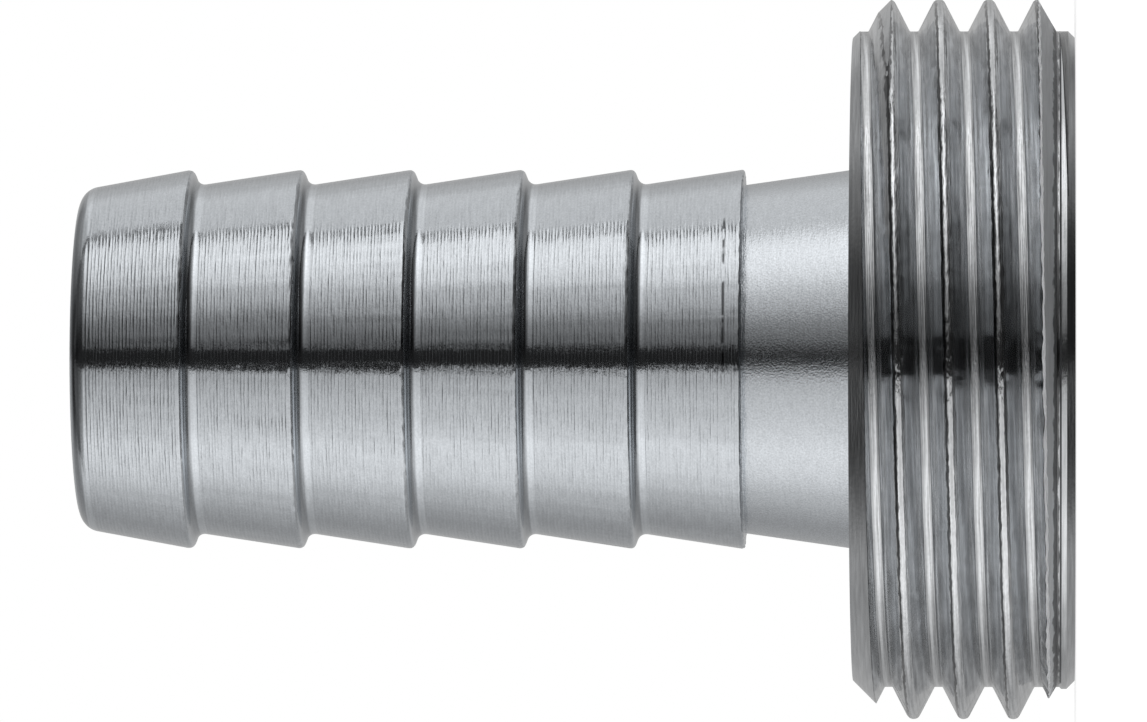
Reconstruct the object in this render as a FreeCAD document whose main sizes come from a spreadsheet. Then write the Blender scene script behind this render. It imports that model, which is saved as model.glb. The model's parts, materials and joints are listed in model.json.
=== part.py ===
import FreeCAD, Part
import math
import os
import Sketcher

# Hose barb tail: a one-piece turned steel fitting. A round collar carries a coarse right-hand
# pipe thread across its whole width, a conical neck leaves it, and a straight tail with six
# barbs grips the hose. A plain waterway runs right through.
# The fitting stands on its threaded end: that face's centre is the origin and +Z runs to the tip.

BARBS = 6
# turns of the thread's ridge wound below its lowest whole crest, and faced off again
LEAD_TURNS = 2
# the most of the tip's wall that one bevel may take, so that two leave a flat between them
LARGEST_BEVEL = 0.4
PARTS_FOLDER = "parts"
BOOK = "<<Dimensions>>."

# Driving dimensions in millimetres and degrees: alias, value, what it sizes.
DIMENSIONS = [
    ("thread_diameter", 26.2, "outside of the thread, over its crests"),
    ("thread_depth", 1.17, "crest to root, measured on the radius"),
    ("thread_pitch", 1.814, "fourteen threads to the inch"),
    ("thread_half_angle", 27.5, "each flank from a plane square to the axis"),
    ("thread_root_flat", 0.31, "width of the flat at the root"),
    ("thread_start", 1.306, "height of the lowest whole crest above the end face, at +X"),
    ("collar_length", 8.05, "threaded end face to the face that the tail leaves"),
    ("collar_face_diameter", 23.4, "flat of each collar face, inside its chamfer"),
    ("collar_chamfer_angle", 45.0, "chamfer at each end, from the axis"),
    ("lead_diameter", 24.0, "plain lead below the thread, which starts it in its socket"),
    ("lead_length", 0.7, "end face to the foot of the cone that the thread starts on"),
    ("lead_angle", 30.0, "cone that the thread starts on, from a plane square to the axis"),
    ("neck_length", 3.95, "collar face to the back of the last barb"),
    ("neck_diameter", 13.8, "neck where it meets the collar"),
    ("barb_pitch", 4.03, "from one barb to the next"),
    ("barb_diameter", 13.84, "barbs over their crests"),
    ("barb_root_diameter", 12.68, "tail at the foot of each barb"),
    ("barb_back_angle", 21.0, "slanted back of a barb from a plane square to the axis"),
    ("nose_length", 4.04, "crest of the first barb to the tip"),
    ("nose_diameter", 12.36, "cone of the first barb where it reaches the tip"),
    ("nose_chamfer", 0.46, "bevel round the tip"),
    ("bore_diameter", 9.5, "waterway"),
    ("bore_chamfer", 0.4, "bevel at both mouths of the waterway"),
]


def make_sheet(doc):
    """The driving dimensions, one to a row."""
    sheet = doc.addObject("Spreadsheet::Sheet", "Dimensions")
    for row, (alias, value, words) in enumerate(DIMENSIONS, start=1):
        sheet.set("A" + str(row), words)
        sheet.set("B" + str(row), str(value))
        sheet.setAlias("B" + str(row), alias)
    doc.recompute()
    return sheet


def origin_plane(body, role):
    return next(item for item in body.Origin.OriginFeatures if item.Role == role)


def make_sketch(body, name):
    """A sketch on the plane through the axis: its x is the radius, its y the height."""
    sketch = body.newObject("Sketcher::SketchObject", name)
    sketch.AttachmentSupport = [(origin_plane(body, "XZ_Plane"), "")]
    sketch.MapMode = "FlatFace"
    return sketch


def add_outline(sketch, points):
    """A closed outline of lines. Line k runs from point k to the next."""
    lines = []
    for start, end in zip(points, points[1:] + points[:1]):
        segment = Part.LineSegment(FreeCAD.Vector(*start, 0), FreeCAD.Vector(*end, 0))
        lines.append(sketch.addGeometry(segment, False))
    for line, following in zip(lines, lines[1:] + lines[:1]):
        sketch.addConstraint(Sketcher.Constraint("Coincident", line, 2, following, 1))
    return lines


def level(sketch, *lines):
    for line in lines:
        sketch.addConstraint(Sketcher.Constraint("Horizontal", line))


def upright(sketch, *lines):
    for line in lines:
        sketch.addConstraint(Sketcher.Constraint("Vertical", line))


def size(sketch, name, kind, points, value, formula):
    """A named dimension of the sketch that follows a formula over the sheet."""
    index = sketch.addConstraint(Sketcher.Constraint(kind, *points, value))
    sketch.renameConstraint(index, name)
    sketch.setExpression("Constraints." + name, formula)


def radius_of(sketch, name, line, value, formula):
    """Sets how far from the axis the start of a line lies."""
    size(sketch, name, "DistanceX", (-1, 1, line, 1), value, formula)


def height_of(sketch, name, line, value, formula):
    """Sets how far above the threaded end face the start of a line lies."""
    size(sketch, name, "DistanceY", (-1, 1, line, 1), value, formula)


def depth_of(sketch, name, line, value, formula):
    """Sets how far below the threaded end face the start of a line lies."""
    size(sketch, name, "DistanceY", (line, 1, -1, 1), value, formula)


def finish_feature(body, feature):
    """Computes a feature. Joining the root's bands would leave a face that winds over itself."""
    feature.Refine = False
    body.Document.recompute()
    return feature


def turn(body, kind, sketch, name):
    """Revolves a sketch a full turn about the axis, to add it or to cut it away."""
    feature = body.newObject(kind, name)
    feature.Profile = sketch
    feature.ReferenceAxis = (sketch, ["V_Axis"])
    feature.Angle = 360.0
    sketch.Visibility = False
    return finish_feature(body, feature)


def sketch_collar_blank(body, sheet):
    """A plain bar at the thread's root, one pitch longer than the collar at both ends."""
    sketch = make_sketch(body, "collar_blank_outline")
    core = sheet.thread_diameter / 2 - sheet.thread_depth
    spare = sheet.thread_pitch
    top = sheet.collar_length + spare
    points = [(0.0, -spare), (core, -spare), (core, top), (0.0, top)]
    bottom, wall, lid, axis = add_outline(sketch, points)
    level(sketch, bottom, lid)
    upright(sketch, wall)
    sketch.addConstraint(Sketcher.Constraint("PointOnObject", bottom, 1, -2))
    sketch.addConstraint(Sketcher.Constraint("PointOnObject", axis, 1, -2))
    core_words = BOOK + "thread_diameter / 2 - " + BOOK + "thread_depth"
    radius_of(sketch, "core", wall, core, core_words)
    depth_of(sketch, "spare_below", wall, spare, BOOK + "thread_pitch")
    top_words = BOOK + "collar_length + " + BOOK + "thread_pitch"
    height_of(sketch, "top", lid, top, top_words)
    return sketch


def sketch_thread_ridge(body, sheet):
    """One ridge of the thread, its foot sunk into the bar so that the two join.

    The flanks run on into the bar until half of the root's flat is left between two turns.
    The ridge starts below the end face, LEAD_TURNS under the lowest whole crest.
    """
    sketch = make_sketch(body, "thread_ridge")
    slope = math.tan(math.radians(sheet.thread_half_angle))
    crest = sheet.thread_diameter / 2
    crest_width = sheet.thread_pitch - sheet.thread_root_flat - 2 * sheet.thread_depth * slope
    foot = crest - sheet.thread_depth - sheet.thread_root_flat / (4 * slope)
    foot_width = sheet.thread_pitch - sheet.thread_root_flat / 2
    below = LEAD_TURNS * sheet.thread_pitch - sheet.thread_start

    points = [
        (crest, -below - crest_width / 2),
        (foot, -below - foot_width / 2),
        (foot, -below + foot_width / 2),
        (crest, -below + crest_width / 2),
    ]
    flank, sunk, _, top = add_outline(sketch, points)
    upright(sketch, sunk, top)

    slope_words = "tan(" + BOOK + "thread_half_angle * 1 deg)"
    crest_words = BOOK + "thread_diameter / 2"
    crest_width_words = (
        BOOK + "thread_pitch - " + BOOK + "thread_root_flat"
        " - 2 * " + BOOK + "thread_depth * " + slope_words
    )
    foot_words = (
        crest_words + " - " + BOOK + "thread_depth"
        " - " + BOOK + "thread_root_flat / (4 * " + slope_words + ")"
    )
    foot_width_words = BOOK + "thread_pitch - " + BOOK + "thread_root_flat / 2"
    below_words = str(LEAD_TURNS) + " * " + BOOK + "thread_pitch - " + BOOK + "thread_start"
    radius_of(sketch, "crest", flank, crest, crest_words)
    radius_of(sketch, "foot", sunk, foot, foot_words)
    depth_of(
        sketch, "crest_start", flank, below + crest_width / 2,
        below_words + " + (" + crest_width_words + ") / 2",
    )
    depth_of(
        sketch, "foot_start", sunk, below + foot_width / 2,
        below_words + " + (" + foot_width_words + ") / 2",
    )
    size(sketch, "crest_width", "DistanceY", (top, 2, top, 1), crest_width, crest_width_words)
    size(sketch, "foot_width", "DistanceY", (sunk, 1, sunk, 2), foot_width, foot_width_words)
    return sketch


def wind_thread(body, sheet):
    """Winds the ridge right-handed along the bar and past both faces of the collar."""
    sketch = sketch_thread_ridge(body, sheet)
    thread = body.newObject("PartDesign::AdditiveHelix", "thread")
    thread.Profile = sketch
    thread.ReferenceAxis = (sketch, ["V_Axis"])
    thread.Mode = "pitch-height-angle"
    thread.setExpression("Pitch", BOOK + "thread_pitch")
    spare_words = str(LEAD_TURNS + 1) + " * " + BOOK + "thread_pitch"
    thread.setExpression("Height", BOOK + "collar_length + " + spare_words)
    thread.LeftHanded = False
    thread.Reversed = False
    sketch.Visibility = False
    return finish_feature(body, thread)


def sketch_collar_ends(body, sheet):
    """What facing and chamfering take off each end, past the ends of the wound ridge.

    The upper end is faced and chamfered. The lower end has a chamfer too, on a short plain lead,
    and from the lead a steep cone runs out through the thread.
    """
    sketch = make_sketch(body, "collar_ends")
    slope = math.tan(math.radians(sheet.collar_chamfer_angle))
    face = sheet.collar_face_diameter / 2
    outer = sheet.thread_diameter / 2 + sheet.thread_depth
    rise = (outer - face) * slope
    reach = (LEAD_TURNS + 1) * sheet.thread_pitch
    collar = sheet.collar_length
    lead = sheet.lead_diameter / 2
    lead_rise = (lead - face) * slope
    foot = sheet.lead_length
    cone_rise = (outer - lead) * math.tan(math.radians(sheet.lead_angle))

    face_words = BOOK + "collar_face_diameter / 2"
    outer_words = BOOK + "thread_diameter / 2 + " + BOOK + "thread_depth"
    slope_words = "tan(" + BOOK + "collar_chamfer_angle * 1 deg)"
    rise_words = "(" + outer_words + " - " + face_words + ") * " + slope_words
    reach_words = str(LEAD_TURNS + 1) + " * " + BOOK + "thread_pitch"
    collar_words = BOOK + "collar_length"
    lead_words = BOOK + "lead_diameter / 2"
    lead_rise_words = "(" + lead_words + " - " + face_words + ") * " + slope_words
    foot_words = BOOK + "lead_length"
    cone_rise_words = (
        "(" + outer_words + " - " + lead_words + ") * tan(" + BOOK + "lead_angle * 1 deg)"
    )

    lower = [
        (0.0, 0.0), (face, 0.0), (lead, lead_rise), (lead, foot), (outer, foot + cone_rise),
        (outer, -reach), (0.0, -reach),
    ]
    flat, chamfer, wall, cone, rim, edge, axis = add_outline(sketch, lower)
    level(sketch, flat, edge)
    upright(sketch, wall, rim, axis)
    sketch.addConstraint(Sketcher.Constraint("Coincident", flat, 1, -1, 1))
    radius_of(sketch, "lower_face", chamfer, face, face_words)
    radius_of(sketch, "lead", wall, lead, lead_words)
    height_of(sketch, "lead_rise", wall, lead_rise, lead_rise_words)
    height_of(sketch, "cone_foot", cone, foot, foot_words)
    radius_of(sketch, "lower_outer", rim, outer, outer_words)
    height_of(
        sketch, "cone_rise", rim, foot + cone_rise, foot_words + " + " + cone_rise_words
    )
    depth_of(sketch, "lower_reach", edge, reach, reach_words)

    upper = [
        (0.0, collar), (face, collar), (outer, collar - rise), (outer, collar + reach),
        (0.0, collar + reach),
    ]
    flat, chamfer, rim, edge, axis = add_outline(sketch, upper)
    level(sketch, flat, edge)
    upright(sketch, rim, axis)
    sketch.addConstraint(Sketcher.Constraint("PointOnObject", flat, 1, -2))
    radius_of(sketch, "upper_face", chamfer, face, face_words)
    height_of(sketch, "upper_flat", chamfer, collar, collar_words)
    radius_of(sketch, "upper_outer", rim, outer, outer_words)
    height_of(sketch, "upper_rise", rim, collar - rise, collar_words + " - " + rise_words)
    height_of(sketch, "upper_reach", edge, collar + reach, collar_words + " + " + reach_words)
    return sketch


def make_threaded_collar(body, sheet):
    turn(body, "PartDesign::Revolution", sketch_collar_blank(body, sheet), "collar_blank")
    bar_volume = body.Shape.Volume
    wind_thread(body, sheet)
    wound_volume = body.Shape.Volume
    turn(body, "PartDesign::Groove", sketch_collar_ends(body, sheet), "collar_faces_and_chamfers")
    if not body.Shape.Volume < bar_volume < wound_volume:
        raise RuntimeError("the thread wasn't wound or its ends weren't trimmed")


def sketch_tail_outline(body, sheet):
    """The half section of the neck and the six barbs, up to the tip."""
    sketch = make_sketch(body, "tail_outline")
    collar = sheet.collar_length
    neck = sheet.neck_diameter / 2
    crest = sheet.barb_diameter / 2
    root = sheet.barb_root_diameter / 2
    nose = sheet.nose_diameter / 2
    slant = (crest - root) * math.tan(math.radians(sheet.barb_back_angle))
    back = collar + sheet.neck_length

    points = [(0.0, collar), (neck, collar), (root, back), (crest, back)]
    for _ in range(1, BARBS):
        back += sheet.barb_pitch
        points += [(root, back - slant), (crest, back)]
    tip = back + sheet.nose_length
    points += [(nose, tip), (0.0, tip)]
    lines = add_outline(sketch, points)
    collar_face, neck_cone, square_back, first_crest = lines[:4]
    nose_end, axis = lines[-2:]

    level(sketch, collar_face, square_back, nose_end)
    sketch.addConstraint(Sketcher.Constraint("PointOnObject", collar_face, 1, -2))
    sketch.addConstraint(Sketcher.Constraint("PointOnObject", axis, 1, -2))
    height_of(sketch, "collar_top", neck_cone, collar, BOOK + "collar_length")
    radius_of(sketch, "neck_foot", neck_cone, neck, BOOK + "neck_diameter / 2")
    radius_of(sketch, "neck_end", square_back, root, BOOK + "barb_root_diameter / 2")
    neck_run = (neck_cone, 1, square_back, 1)
    size(sketch, "neck_run", "DistanceY", neck_run, sheet.neck_length, BOOK + "neck_length")
    radius_of(sketch, "crest_0", first_crest, crest, BOOK + "barb_diameter / 2")

    # each further barb: its foot, then its crest one pitch above the crest before it
    slant_words = (
        "(" + BOOK + "barb_diameter - " + BOOK + "barb_root_diameter) / 2"
        " * tan(" + BOOK + "barb_back_angle * 1 deg)"
    )
    crests = lines[3:-2:2]
    feet = lines[4:-2:2]
    for step, foot in enumerate(feet, start=1):
        before, after = crests[step - 1], crests[step]
        tag = "_" + str(step)
        radius_of(sketch, "foot" + tag, foot, root, BOOK + "barb_root_diameter / 2")
        radius_of(sketch, "crest" + tag, after, crest, BOOK + "barb_diameter / 2")
        size(sketch, "slant" + tag, "DistanceY", (foot, 1, after, 1), slant, slant_words)
        pitch = (before, 1, after, 1)
        size(sketch, "pitch" + tag, "DistanceY", pitch, sheet.barb_pitch, BOOK + "barb_pitch")

    nose_run = (crests[-1], 1, nose_end, 1)
    size(sketch, "nose_run", "DistanceY", nose_run, sheet.nose_length, BOOK + "nose_length")
    radius_of(sketch, "nose_taper", nose_end, nose, BOOK + "nose_diameter / 2")
    return sketch


def bore_waterway(body):
    """The plain hole right through."""
    sketch = body.newObject("Sketcher::SketchObject", "waterway_circle")
    sketch.AttachmentSupport = [(origin_plane(body, "XY_Plane"), "")]
    sketch.MapMode = "FlatFace"
    radius = 1.0
    circle = Part.Circle(FreeCAD.Vector(0, 0, 0), FreeCAD.Vector(0, 0, 1), radius)
    mouth = sketch.addGeometry(circle, False)
    sketch.addConstraint(Sketcher.Constraint("Coincident", mouth, 3, -1, 1))
    size(sketch, "waterway", "Diameter", (mouth,), 2 * radius, BOOK + "bore_diameter")
    pocket = body.newObject("PartDesign::Pocket", "waterway")
    pocket.Profile = sketch
    pocket.Type = "ThroughAll"
    pocket.Reversed = True
    sketch.Visibility = False
    return finish_feature(body, pocket)


def ring_edges(shape, rings):
    """Names of the whole circles about the axis at the given (radius, height) pairs."""
    close = 1e-4
    names = []
    for number, edge in enumerate(shape.Edges, start=1):
        if not isinstance(edge.Curve, Part.Circle) or not edge.isClosed():
            continue
        radius, height = edge.Curve.Radius, edge.Curve.Center.z
        if any(abs(radius - r) < close and abs(height - z) < close for r, z in rings):
            names.append("Edge" + str(number))
    if len(names) != len(rings):
        raise RuntimeError("expected " + str(len(rings)) + " edges, found " + str(len(names)))
    return names


def bevel(body, name, rings, alias):
    """Bevels the edges at the given rings of the shape so far, as far as the tip's wall allows."""
    base = body.Tip
    chamfer = body.newObject("PartDesign::Chamfer", name)
    chamfer.Base = (base, ring_edges(base.Shape, rings))
    wall_words = "(" + BOOK + "nose_diameter - " + BOOK + "bore_diameter) / 2"
    largest_words = str(LARGEST_BEVEL) + " * " + wall_words
    chamfer.setExpression("Size", "min(" + BOOK + alias + "; " + largest_words + ")")
    return finish_feature(body, chamfer)


def bevel_ends(body, sheet):
    """Takes the corners off the tip and off both mouths of the waterway."""
    tip = (
        sheet.collar_length + sheet.neck_length
        + (BARBS - 1) * sheet.barb_pitch + sheet.nose_length
    )
    bevel(body, "nose_bevel", [(sheet.nose_diameter / 2, tip)], "nose_chamfer")
    mouths = [(sheet.bore_diameter / 2, 0.0), (sheet.bore_diameter / 2, tip)]
    bevel(body, "waterway_bevels", mouths, "bore_chamfer")


def make_hose_barb_tail(doc, sheet):
    body = doc.addObject("PartDesign::Body", "hose_barb_tail")
    body.Label = "hose_barb_tail"
    make_threaded_collar(body, sheet)
    turn(body, "PartDesign::Revolution", sketch_tail_outline(body, sheet), "barbed_tail")
    solid_volume = body.Shape.Volume
    bore_waterway(body)
    if not body.Shape.Volume < solid_volume:
        raise RuntimeError("the waterway cut nothing")
    bevel_ends(body, sheet)
    return body


def check(doc, bodies):
    """Every object computed, and every sub-part one valid closed solid."""
    for item in doc.Objects:
        if "Invalid" in item.State or "Error" in item.State:
            raise RuntimeError(item.Name + " failed: " + str(item.State))
    for body in bodies:
        shape = body.Shape
        if shape.isNull() or not shape.isValid() or len(shape.Solids) != 1:
            raise RuntimeError(body.Label + " isn't one valid solid")


def main():
    doc = FreeCAD.newDocument("HoseBarbTail")
    sheet = make_sheet(doc)
    bodies = [make_hose_barb_tail(doc, sheet)]
    check(doc, bodies)
    os.makedirs(PARTS_FOLDER, exist_ok=True)
    for body in bodies:
        body.Shape.exportStep(os.path.join(PARTS_FOLDER, body.Label + ".step"))
        print(body.Label, "has a volume of", round(body.Shape.Volume, 2), "cubic millimetres")


main()
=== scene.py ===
import json
import math

import bmesh
import bpy
from bpy.props import FloatProperty, FloatVectorProperty, IntProperty, PointerProperty
from mathutils import Matrix, Vector, noise


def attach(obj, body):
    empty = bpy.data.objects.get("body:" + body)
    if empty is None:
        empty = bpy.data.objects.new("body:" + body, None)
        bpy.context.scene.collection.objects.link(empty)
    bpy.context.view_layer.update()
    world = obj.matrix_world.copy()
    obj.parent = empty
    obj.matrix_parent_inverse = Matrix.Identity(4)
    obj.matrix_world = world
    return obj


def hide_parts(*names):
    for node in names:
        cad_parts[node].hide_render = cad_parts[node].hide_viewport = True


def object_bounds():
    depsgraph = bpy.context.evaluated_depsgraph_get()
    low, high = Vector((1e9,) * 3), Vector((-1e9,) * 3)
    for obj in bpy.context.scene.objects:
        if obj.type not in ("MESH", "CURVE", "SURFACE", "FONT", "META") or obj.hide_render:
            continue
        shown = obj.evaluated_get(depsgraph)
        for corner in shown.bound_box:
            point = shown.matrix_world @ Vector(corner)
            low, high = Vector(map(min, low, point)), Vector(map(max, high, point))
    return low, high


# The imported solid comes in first, so that sizes below can come from it.
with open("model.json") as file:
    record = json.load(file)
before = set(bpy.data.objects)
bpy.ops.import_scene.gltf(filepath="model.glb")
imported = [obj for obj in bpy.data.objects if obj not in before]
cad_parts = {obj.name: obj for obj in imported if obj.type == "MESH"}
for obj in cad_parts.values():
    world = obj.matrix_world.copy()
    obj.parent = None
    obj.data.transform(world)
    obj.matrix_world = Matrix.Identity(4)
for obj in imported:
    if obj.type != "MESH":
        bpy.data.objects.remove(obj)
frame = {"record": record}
cad_low, cad_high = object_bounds()

MM = 0.001
NODE = "hose_barb_tail"
BODY = "root"
WATERWAY = next(mount for mount in frame["record"]["mounts"] if mount["name"] == "waterway")

bl_info = {
    "name": "Hose barb tail",
    "version": (1, 0, 0),
    "blender": (4, 5, 0),
    "location": "3D View > Sidebar > Hose Tail",
    "description": "A turned steel hose barb tail with its pipe thread, and a small studio for it",
    "category": "Object",
}


# Sizes

class TailSizes(bpy.types.PropertyGroup):
    """The turned form from the collar's face to the tip, and the waterway."""

    length: FloatProperty(
        name="Overall length", description="End face to tip",
        default=cad_high.z, unit="LENGTH", subtype="DISTANCE",
    )
    collar_length: FloatProperty(
        name="Collar length", description="Threaded end face to the face that the tail leaves",
        default=8.05 * MM, unit="LENGTH", subtype="DISTANCE",
    )
    neck_radius: FloatProperty(
        name="Neck radius", description="Neck where it meets the collar",
        default=6.9 * MM, unit="LENGTH", subtype="DISTANCE",
    )
    neck_length: FloatProperty(
        name="Neck length", description="Collar face to the back of the last barb",
        default=3.95 * MM, unit="LENGTH", subtype="DISTANCE",
    )
    barbs: IntProperty(name="Barbs", description="How many barbs the tail has", default=6)
    barb_pitch: FloatProperty(
        name="Barb pitch", description="From one barb's crest to the next",
        default=4.03 * MM, unit="LENGTH", subtype="DISTANCE",
    )
    barb_radius: FloatProperty(
        name="Barb radius", description="Axis to a barb's crest before it is rounded",
        default=6.92 * MM, unit="LENGTH", subtype="DISTANCE",
    )
    root_radius: FloatProperty(
        name="Root radius", description="Axis to the foot of a barb's back",
        default=6.34 * MM, unit="LENGTH", subtype="DISTANCE",
    )
    back_angle: FloatProperty(
        name="Back angle", description="Back of a barb from a plane square to the axis",
        default=math.radians(21), unit="ROTATION", subtype="ANGLE",
    )
    crest_round: FloatProperty(
        name="Crest rounding", description="Radius on the crest of a barb",
        default=0.2 * MM, unit="LENGTH", subtype="DISTANCE",
    )
    root_fillet: FloatProperty(
        name="Root fillet", description="Radius at the foot of a barb's back",
        default=0.34 * MM, unit="LENGTH", subtype="DISTANCE",
    )
    nose_radius: FloatProperty(
        name="Nose radius", description="Cone of the first barb where it would reach the tip",
        default=6.18 * MM, unit="LENGTH", subtype="DISTANCE",
    )
    nose_round: FloatProperty(
        name="Nose rounding", description="Radius that the cone is rounded over with at the tip",
        default=0.72 * MM, unit="LENGTH", subtype="DISTANCE",
    )
    tip_face_radius: FloatProperty(
        name="Tip face", description="Axis to the outer edge of the flat face of the tip",
        default=5.76 * MM, unit="LENGTH", subtype="DISTANCE",
    )
    bore_radius: FloatProperty(
        name="Waterway radius", description="Radius of the hole right through",
        default=WATERWAY["dims"]["r_mm"] * MM, unit="LENGTH", subtype="DISTANCE",
    )
    bore_bevel: FloatProperty(
        name="Waterway bevel", description="Bevel at both mouths of the waterway",
        default=0.4 * MM, unit="LENGTH", subtype="DISTANCE",
    )
    steps: IntProperty(name="Steps round", description="Steps of each full turn", default=336)


class ThreadSizes(bpy.types.PropertyGroup):
    """The pipe thread on the collar."""

    crest_radius: FloatProperty(
        name="Crest radius", description="Axis to the rounded top of the thread",
        default=cad_high.x, unit="LENGTH", subtype="DISTANCE",
    )
    depth: FloatProperty(
        name="Depth", description="Crest to root",
        default=1.17 * MM, unit="LENGTH", subtype="DISTANCE",
    )
    pitch: FloatProperty(
        name="Pitch", description="Rise in one turn",
        default=1.814 * MM, unit="LENGTH", subtype="DISTANCE",
    )
    half_angle: FloatProperty(
        name="Half angle", description="Each flank from a plane square to the axis",
        default=math.radians(27.5), unit="ROTATION", subtype="ANGLE",
    )
    crest_round: FloatProperty(
        name="Crest rounding", description="Radius on the crest",
        default=0.2355 * MM, unit="LENGTH", subtype="DISTANCE",
    )
    root_fillet: FloatProperty(
        name="Root fillet", description="Radius in both corners of the root",
        default=0.06 * MM, unit="LENGTH", subtype="DISTANCE",
    )
    start: FloatProperty(
        name="Start", description="Height of the lowest whole crest at +X",
        default=1.306 * MM, unit="LENGTH", subtype="DISTANCE",
    )
    face_radius: FloatProperty(
        name="Face radius", description="Axis to the foot of the chamfer at each end",
        default=11.7 * MM, unit="LENGTH", subtype="DISTANCE",
    )
    lead_radius: FloatProperty(
        name="Lead radius", description="Plain lead below the thread",
        default=12.0 * MM, unit="LENGTH", subtype="DISTANCE",
    )
    lead_length: FloatProperty(
        name="Lead length", description="End face to the foot of the cone above the lead",
        default=0.7 * MM, unit="LENGTH", subtype="DISTANCE",
    )
    lead_angle: FloatProperty(
        name="Lead angle", description="Cone above the lead from a plane square to the axis",
        default=math.radians(30), unit="ROTATION", subtype="ANGLE",
    )


# How closely the skin follows the sizes, and how torn its edges are

# a long line of an outline has a holding row this close to each of its ends
HOLD = 0.03 * MM
ARC_STEP = math.radians(13)
WELD = 0.0005 * MM
SECTORS = 12
# an edge wanders by so much, and so many times in a millimetre
CONE_FRAY = 0.07 * MM
CONE_FRAYS = 2.2
CREST_FRAY = 0.03 * MM
THREAD_FRAYS = 3.0
BARB_FRAYS = 4.0


# Outlines: chains of edges in the half plane through the axis, x the radius and z the height

def flat_point(radius, height):
    return Vector((radius, 0.0, height))


def draw_line(bm, end, radius, height):
    """Draws on from a chain's end. A long line gets a holding row close to each of its ends."""
    start = end.co.copy()
    target = flat_point(radius, height)
    run = target - start
    stops = [target]
    if run.length > 4 * HOLD:
        stops = [start + run.normalized() * HOLD, target - run.normalized() * HOLD, target]
    for stop in stops:
        grown = bmesh.ops.extrude_vert_indiv(bm, verts=[end])
        end = grown["verts"][0]
        end.co = stop
    return end


def draw_arc(bm, end, centre, turn, step=ARC_STEP):
    """Swings on from a chain's end about a centre, towards +X for a positive turn at +Z."""
    swung = bmesh.ops.spin(
        bm, geom=[end], cent=centre, axis=(0.0, 1.0, 0.0), angle=turn,
        steps=max(2, round(abs(turn) / step)), use_merge=False,
    )
    return next(item for item in swung["geom_last"] if isinstance(item, bmesh.types.BMVert))


def draw_fillet(bm, end, corner, following, radius):
    """Draws to a corner, round it and no further, so that the next line leaves it true."""
    arriving = (end.co - corner).normalized()
    leaving = (following - corner).normalized()
    half = arriving.angle(leaving) / 2
    tangent = radius / math.tan(half)
    start = corner + arriving * tangent
    centre = corner + (arriving + leaving).normalized() * (radius / math.sin(half))
    side = math.copysign(1.0, arriving.cross(leaving).y)
    end = draw_line(bm, end, start.x, start.z)
    return draw_arc(bm, end, centre, side * (2 * half - math.pi))


def draw_outline(bm, corners):
    """A chain through corners of (radius, height, rounding). Its ends are never rounded."""
    end = bm.verts.new(flat_point(*corners[0][:2]))
    for (radius, height, rounding), following in zip(corners[1:-1], corners[2:]):
        if rounding:
            corner = flat_point(radius, height)
            end = draw_fillet(bm, end, corner, flat_point(*following[:2]), rounding)
        else:
            end = draw_line(bm, end, radius, height)
    return draw_line(bm, end, *corners[-1][:2])


def neck_end(tail):
    """Height at which the neck ends and the last barb's back begins."""
    return tail.collar_length + tail.neck_length


def tail_corners(tail):
    """From the collar's upper face up to the crest of the first barb."""
    slant = (tail.barb_radius - tail.root_radius) * math.tan(tail.back_angle)
    back = neck_end(tail)
    neck_fillet = 0.1 * MM
    square_fillet = 0.03 * MM
    square_round = 0.1 * MM
    corners = [
        (tail.neck_radius + 4 * neck_fillet, tail.collar_length, 0.0),
        (tail.neck_radius, tail.collar_length, neck_fillet),
        (tail.root_radius, back, square_fillet),
        (tail.barb_radius, back, square_round),
    ]
    for _ in range(1, tail.barbs):
        back += tail.barb_pitch
        corners.append((tail.root_radius, back - slant, tail.root_fillet))
        corners.append((tail.barb_radius, back, tail.crest_round))
    return corners


def nose_centre(tail, inward, along):
    """Where the tip's rounding is centred.

    It is on a line parallel to the cone, nose_round inside it, and nose_round from the edge of
    the tip's face.
    """
    base = flat_point(tail.nose_radius, tail.length) + inward * tail.nose_round
    from_edge = base - flat_point(tail.tip_face_radius, tail.length)
    middle = -from_edge.dot(along)
    reach = math.sqrt(middle ** 2 - from_edge.length_squared + tail.nose_round ** 2)
    across = (base + along * (middle - reach)).x
    drop = math.sqrt(tail.nose_round ** 2 - (tail.tip_face_radius - across) ** 2)
    return flat_point(across, tail.length - drop)


def draw_tail(bm, tail):
    """The tail's outline up the barbs, over the tip and down the waterway.

    The tip's rounding is swung between the first barb's cone and the tip's face.
    """
    corners = tail_corners(tail)
    cone = flat_point(tail.nose_radius, tail.length) - flat_point(*corners[-1][:2])
    inward = Vector((-cone.z, 0.0, cone.x)).normalized()
    centre = nose_centre(tail, inward, cone.normalized())
    start = centre - inward * tail.nose_round
    corners.append((start.x, start.z, 0.0))
    end = draw_outline(bm, corners)
    tip = flat_point(tail.tip_face_radius, tail.length)
    end = draw_arc(bm, end, centre, -(start - centre).angle(tip - centre), ARC_STEP / 2)
    mouth = tail.bore_radius + tail.bore_bevel
    for radius, height in (
        (mouth, tail.length),
        (tail.bore_radius, tail.length - tail.bore_bevel),
        (tail.bore_radius, tail.bore_bevel),
        (mouth, 0.0),
    ):
        end = draw_line(bm, end, radius, height)


def thread_apex(thread):
    """Radius at which the two flanks of a crest would meet if it weren't rounded."""
    return thread.crest_radius + thread.crest_round * (1 / math.sin(thread.half_angle) - 1)


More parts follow.
